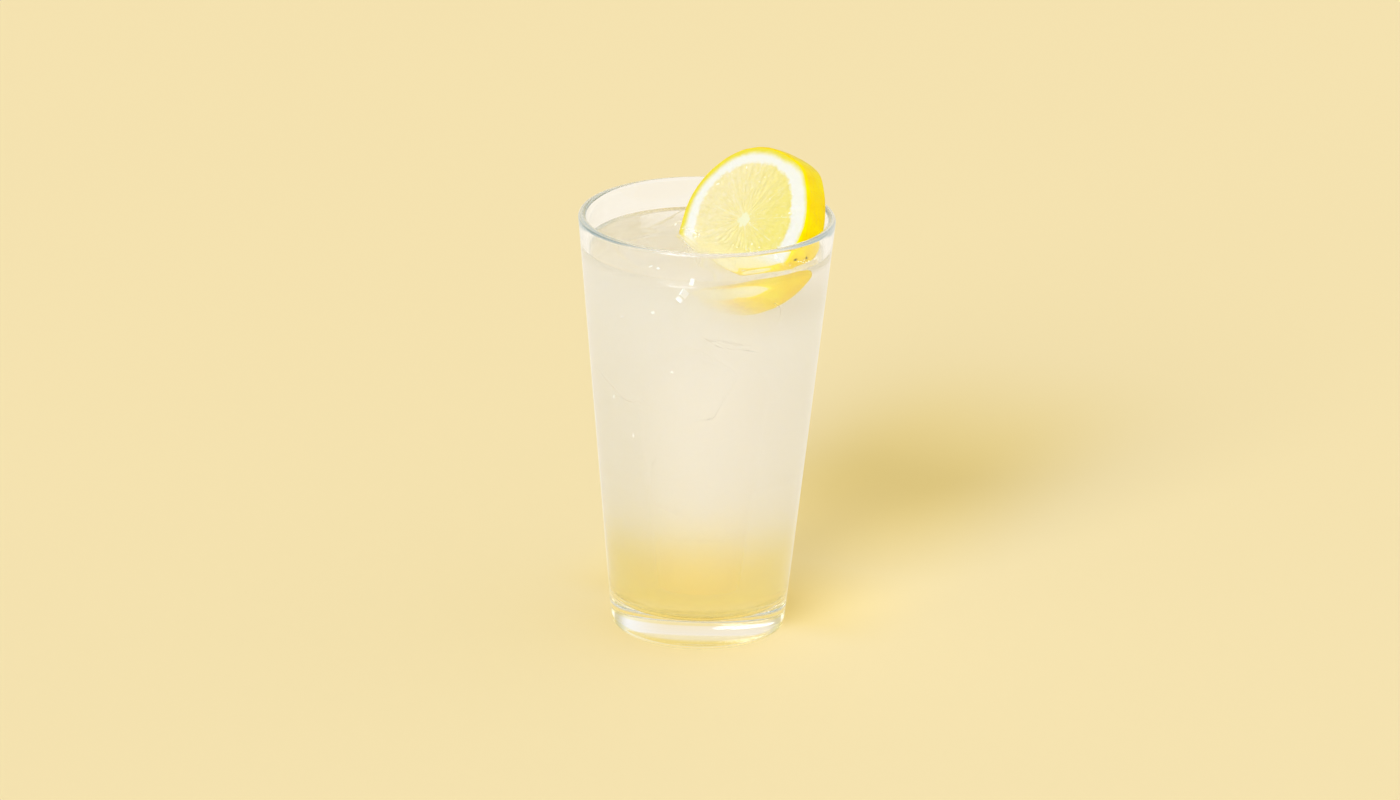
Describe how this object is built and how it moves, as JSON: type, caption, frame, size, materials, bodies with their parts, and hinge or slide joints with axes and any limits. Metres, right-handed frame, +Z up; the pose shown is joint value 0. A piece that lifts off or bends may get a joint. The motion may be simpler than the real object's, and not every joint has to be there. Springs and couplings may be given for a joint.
{
  "type": "glass of lemonade",
  "caption": "Tapered clear drinking glass filled with pale cloudy lemonade over a settled yellow layer, with a thick lemon round leaning on its rim.",
  "frame": {"origin": "on the surface the glass stands on, at the glass's axis, which is the centre of the bounding box's bottom face", "axes": "+Z up along the glass's axis; -Y is the side the slice's face looks out of, with +X to the right"},
  "size_m": [0.0886, 0.0886, 0.1685],
  "materials": {
    "glass": "clear smooth glass, heavy base, fire-polished rim",
    "lemonade": "cloudy pale cream liquid with a still, glossy surface",
    "lemon_syrup": "settled cloudy yellow liquid, fading upward into the pale drink",
    "lemon_slice": "moist pale yellow flesh, white pith, bright yellow pored rind"
  },
  "bodies": {
    "root": {"glass": "glass", "lemonade": "lemonade", "lemon_syrup": "lemon_syrup", "lemon_slice": "lemon_slice"}
  },
  "joints": []
}
